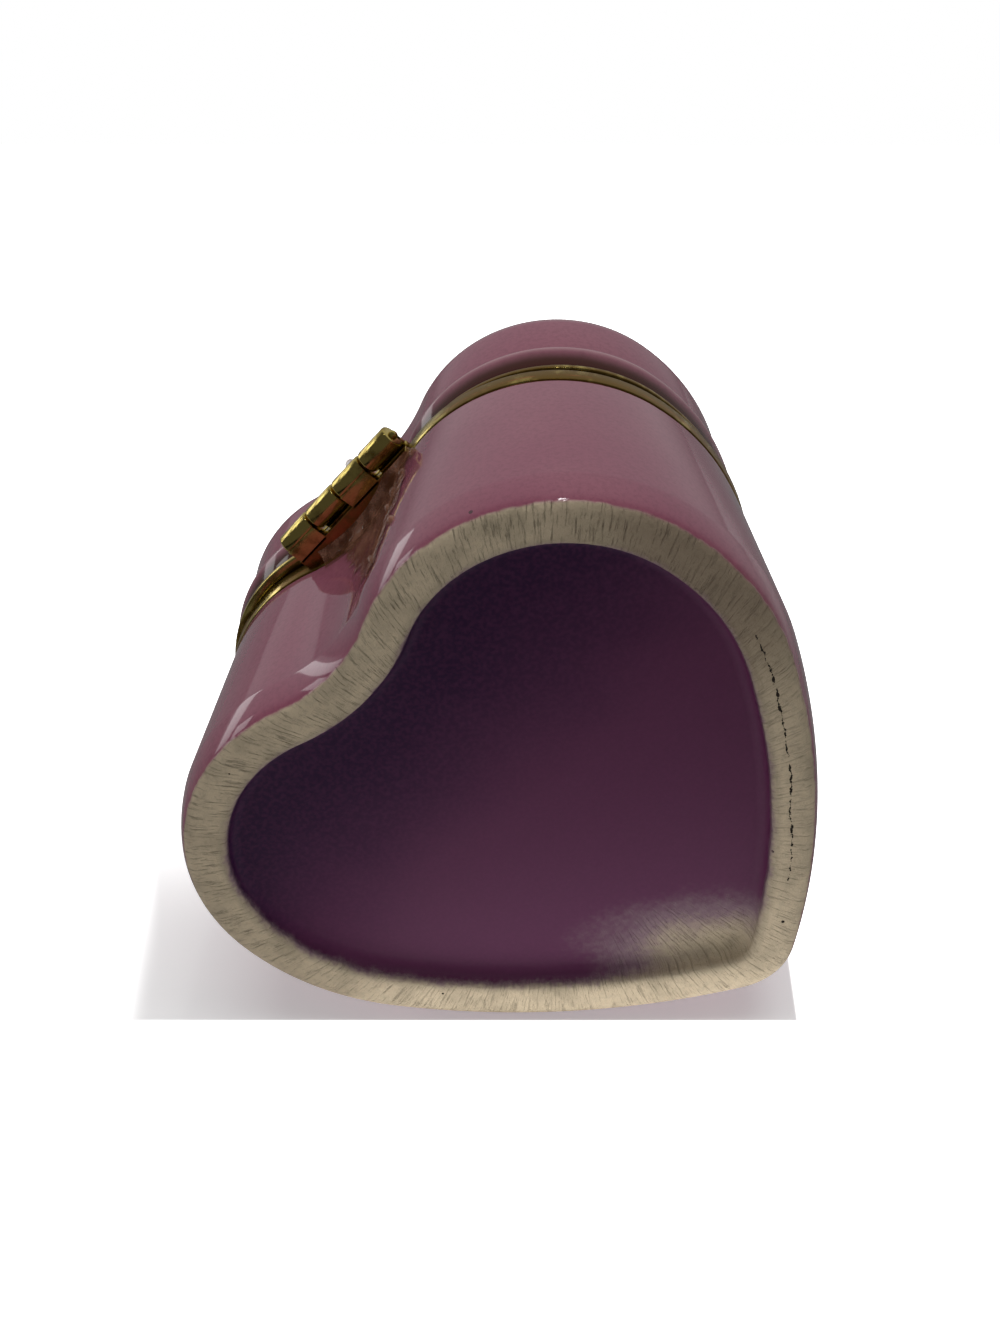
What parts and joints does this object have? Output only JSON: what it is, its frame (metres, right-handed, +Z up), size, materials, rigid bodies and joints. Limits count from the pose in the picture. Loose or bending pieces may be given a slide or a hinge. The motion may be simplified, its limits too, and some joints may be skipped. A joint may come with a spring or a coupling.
{
  "type": "trinket box",
  "caption": "Heart-shaped glazed ceramic trinket box with brass rims, a knuckle hinge behind the cleft, a domed hollow lid and an unglazed foot ring.",
  "frame": {"origin": "middle of the footprint, at the level of the foot ring's underside", "axes": "+Z up through the lid, -Y towards the heart's tip, +Y towards the cleft and hinge, +X to the right seen from the tip"},
  "size_m": [0.0534, 0.0498, 0.0377],
  "materials": {
    "body_glaze": "glossy mauve glaze, unglazed cream foot ring",
    "lid_glaze": "glossy mauve glaze",
    "body_brass": "polished, slightly tarnished",
    "lid_brass": "polished, slightly tarnished",
    "pin_brass": "drawn wire"
  },
  "bodies": {
    "box": {"box_body": "body_glaze", "body_rim": "body_brass", "hinge_pin": "pin_brass"},
    "lid": {"lid_rim": "lid_brass", "lid_shell": "lid_glaze"}
  },
  "joints": [
    {"name": "lid_hinge", "type": "hinge", "parent": "box", "child": "lid", "pos_m": [-0.0012, 0.02382, 0.0236], "axis": [-1, 0, 0], "range_deg": [0, 100]}
  ]
}
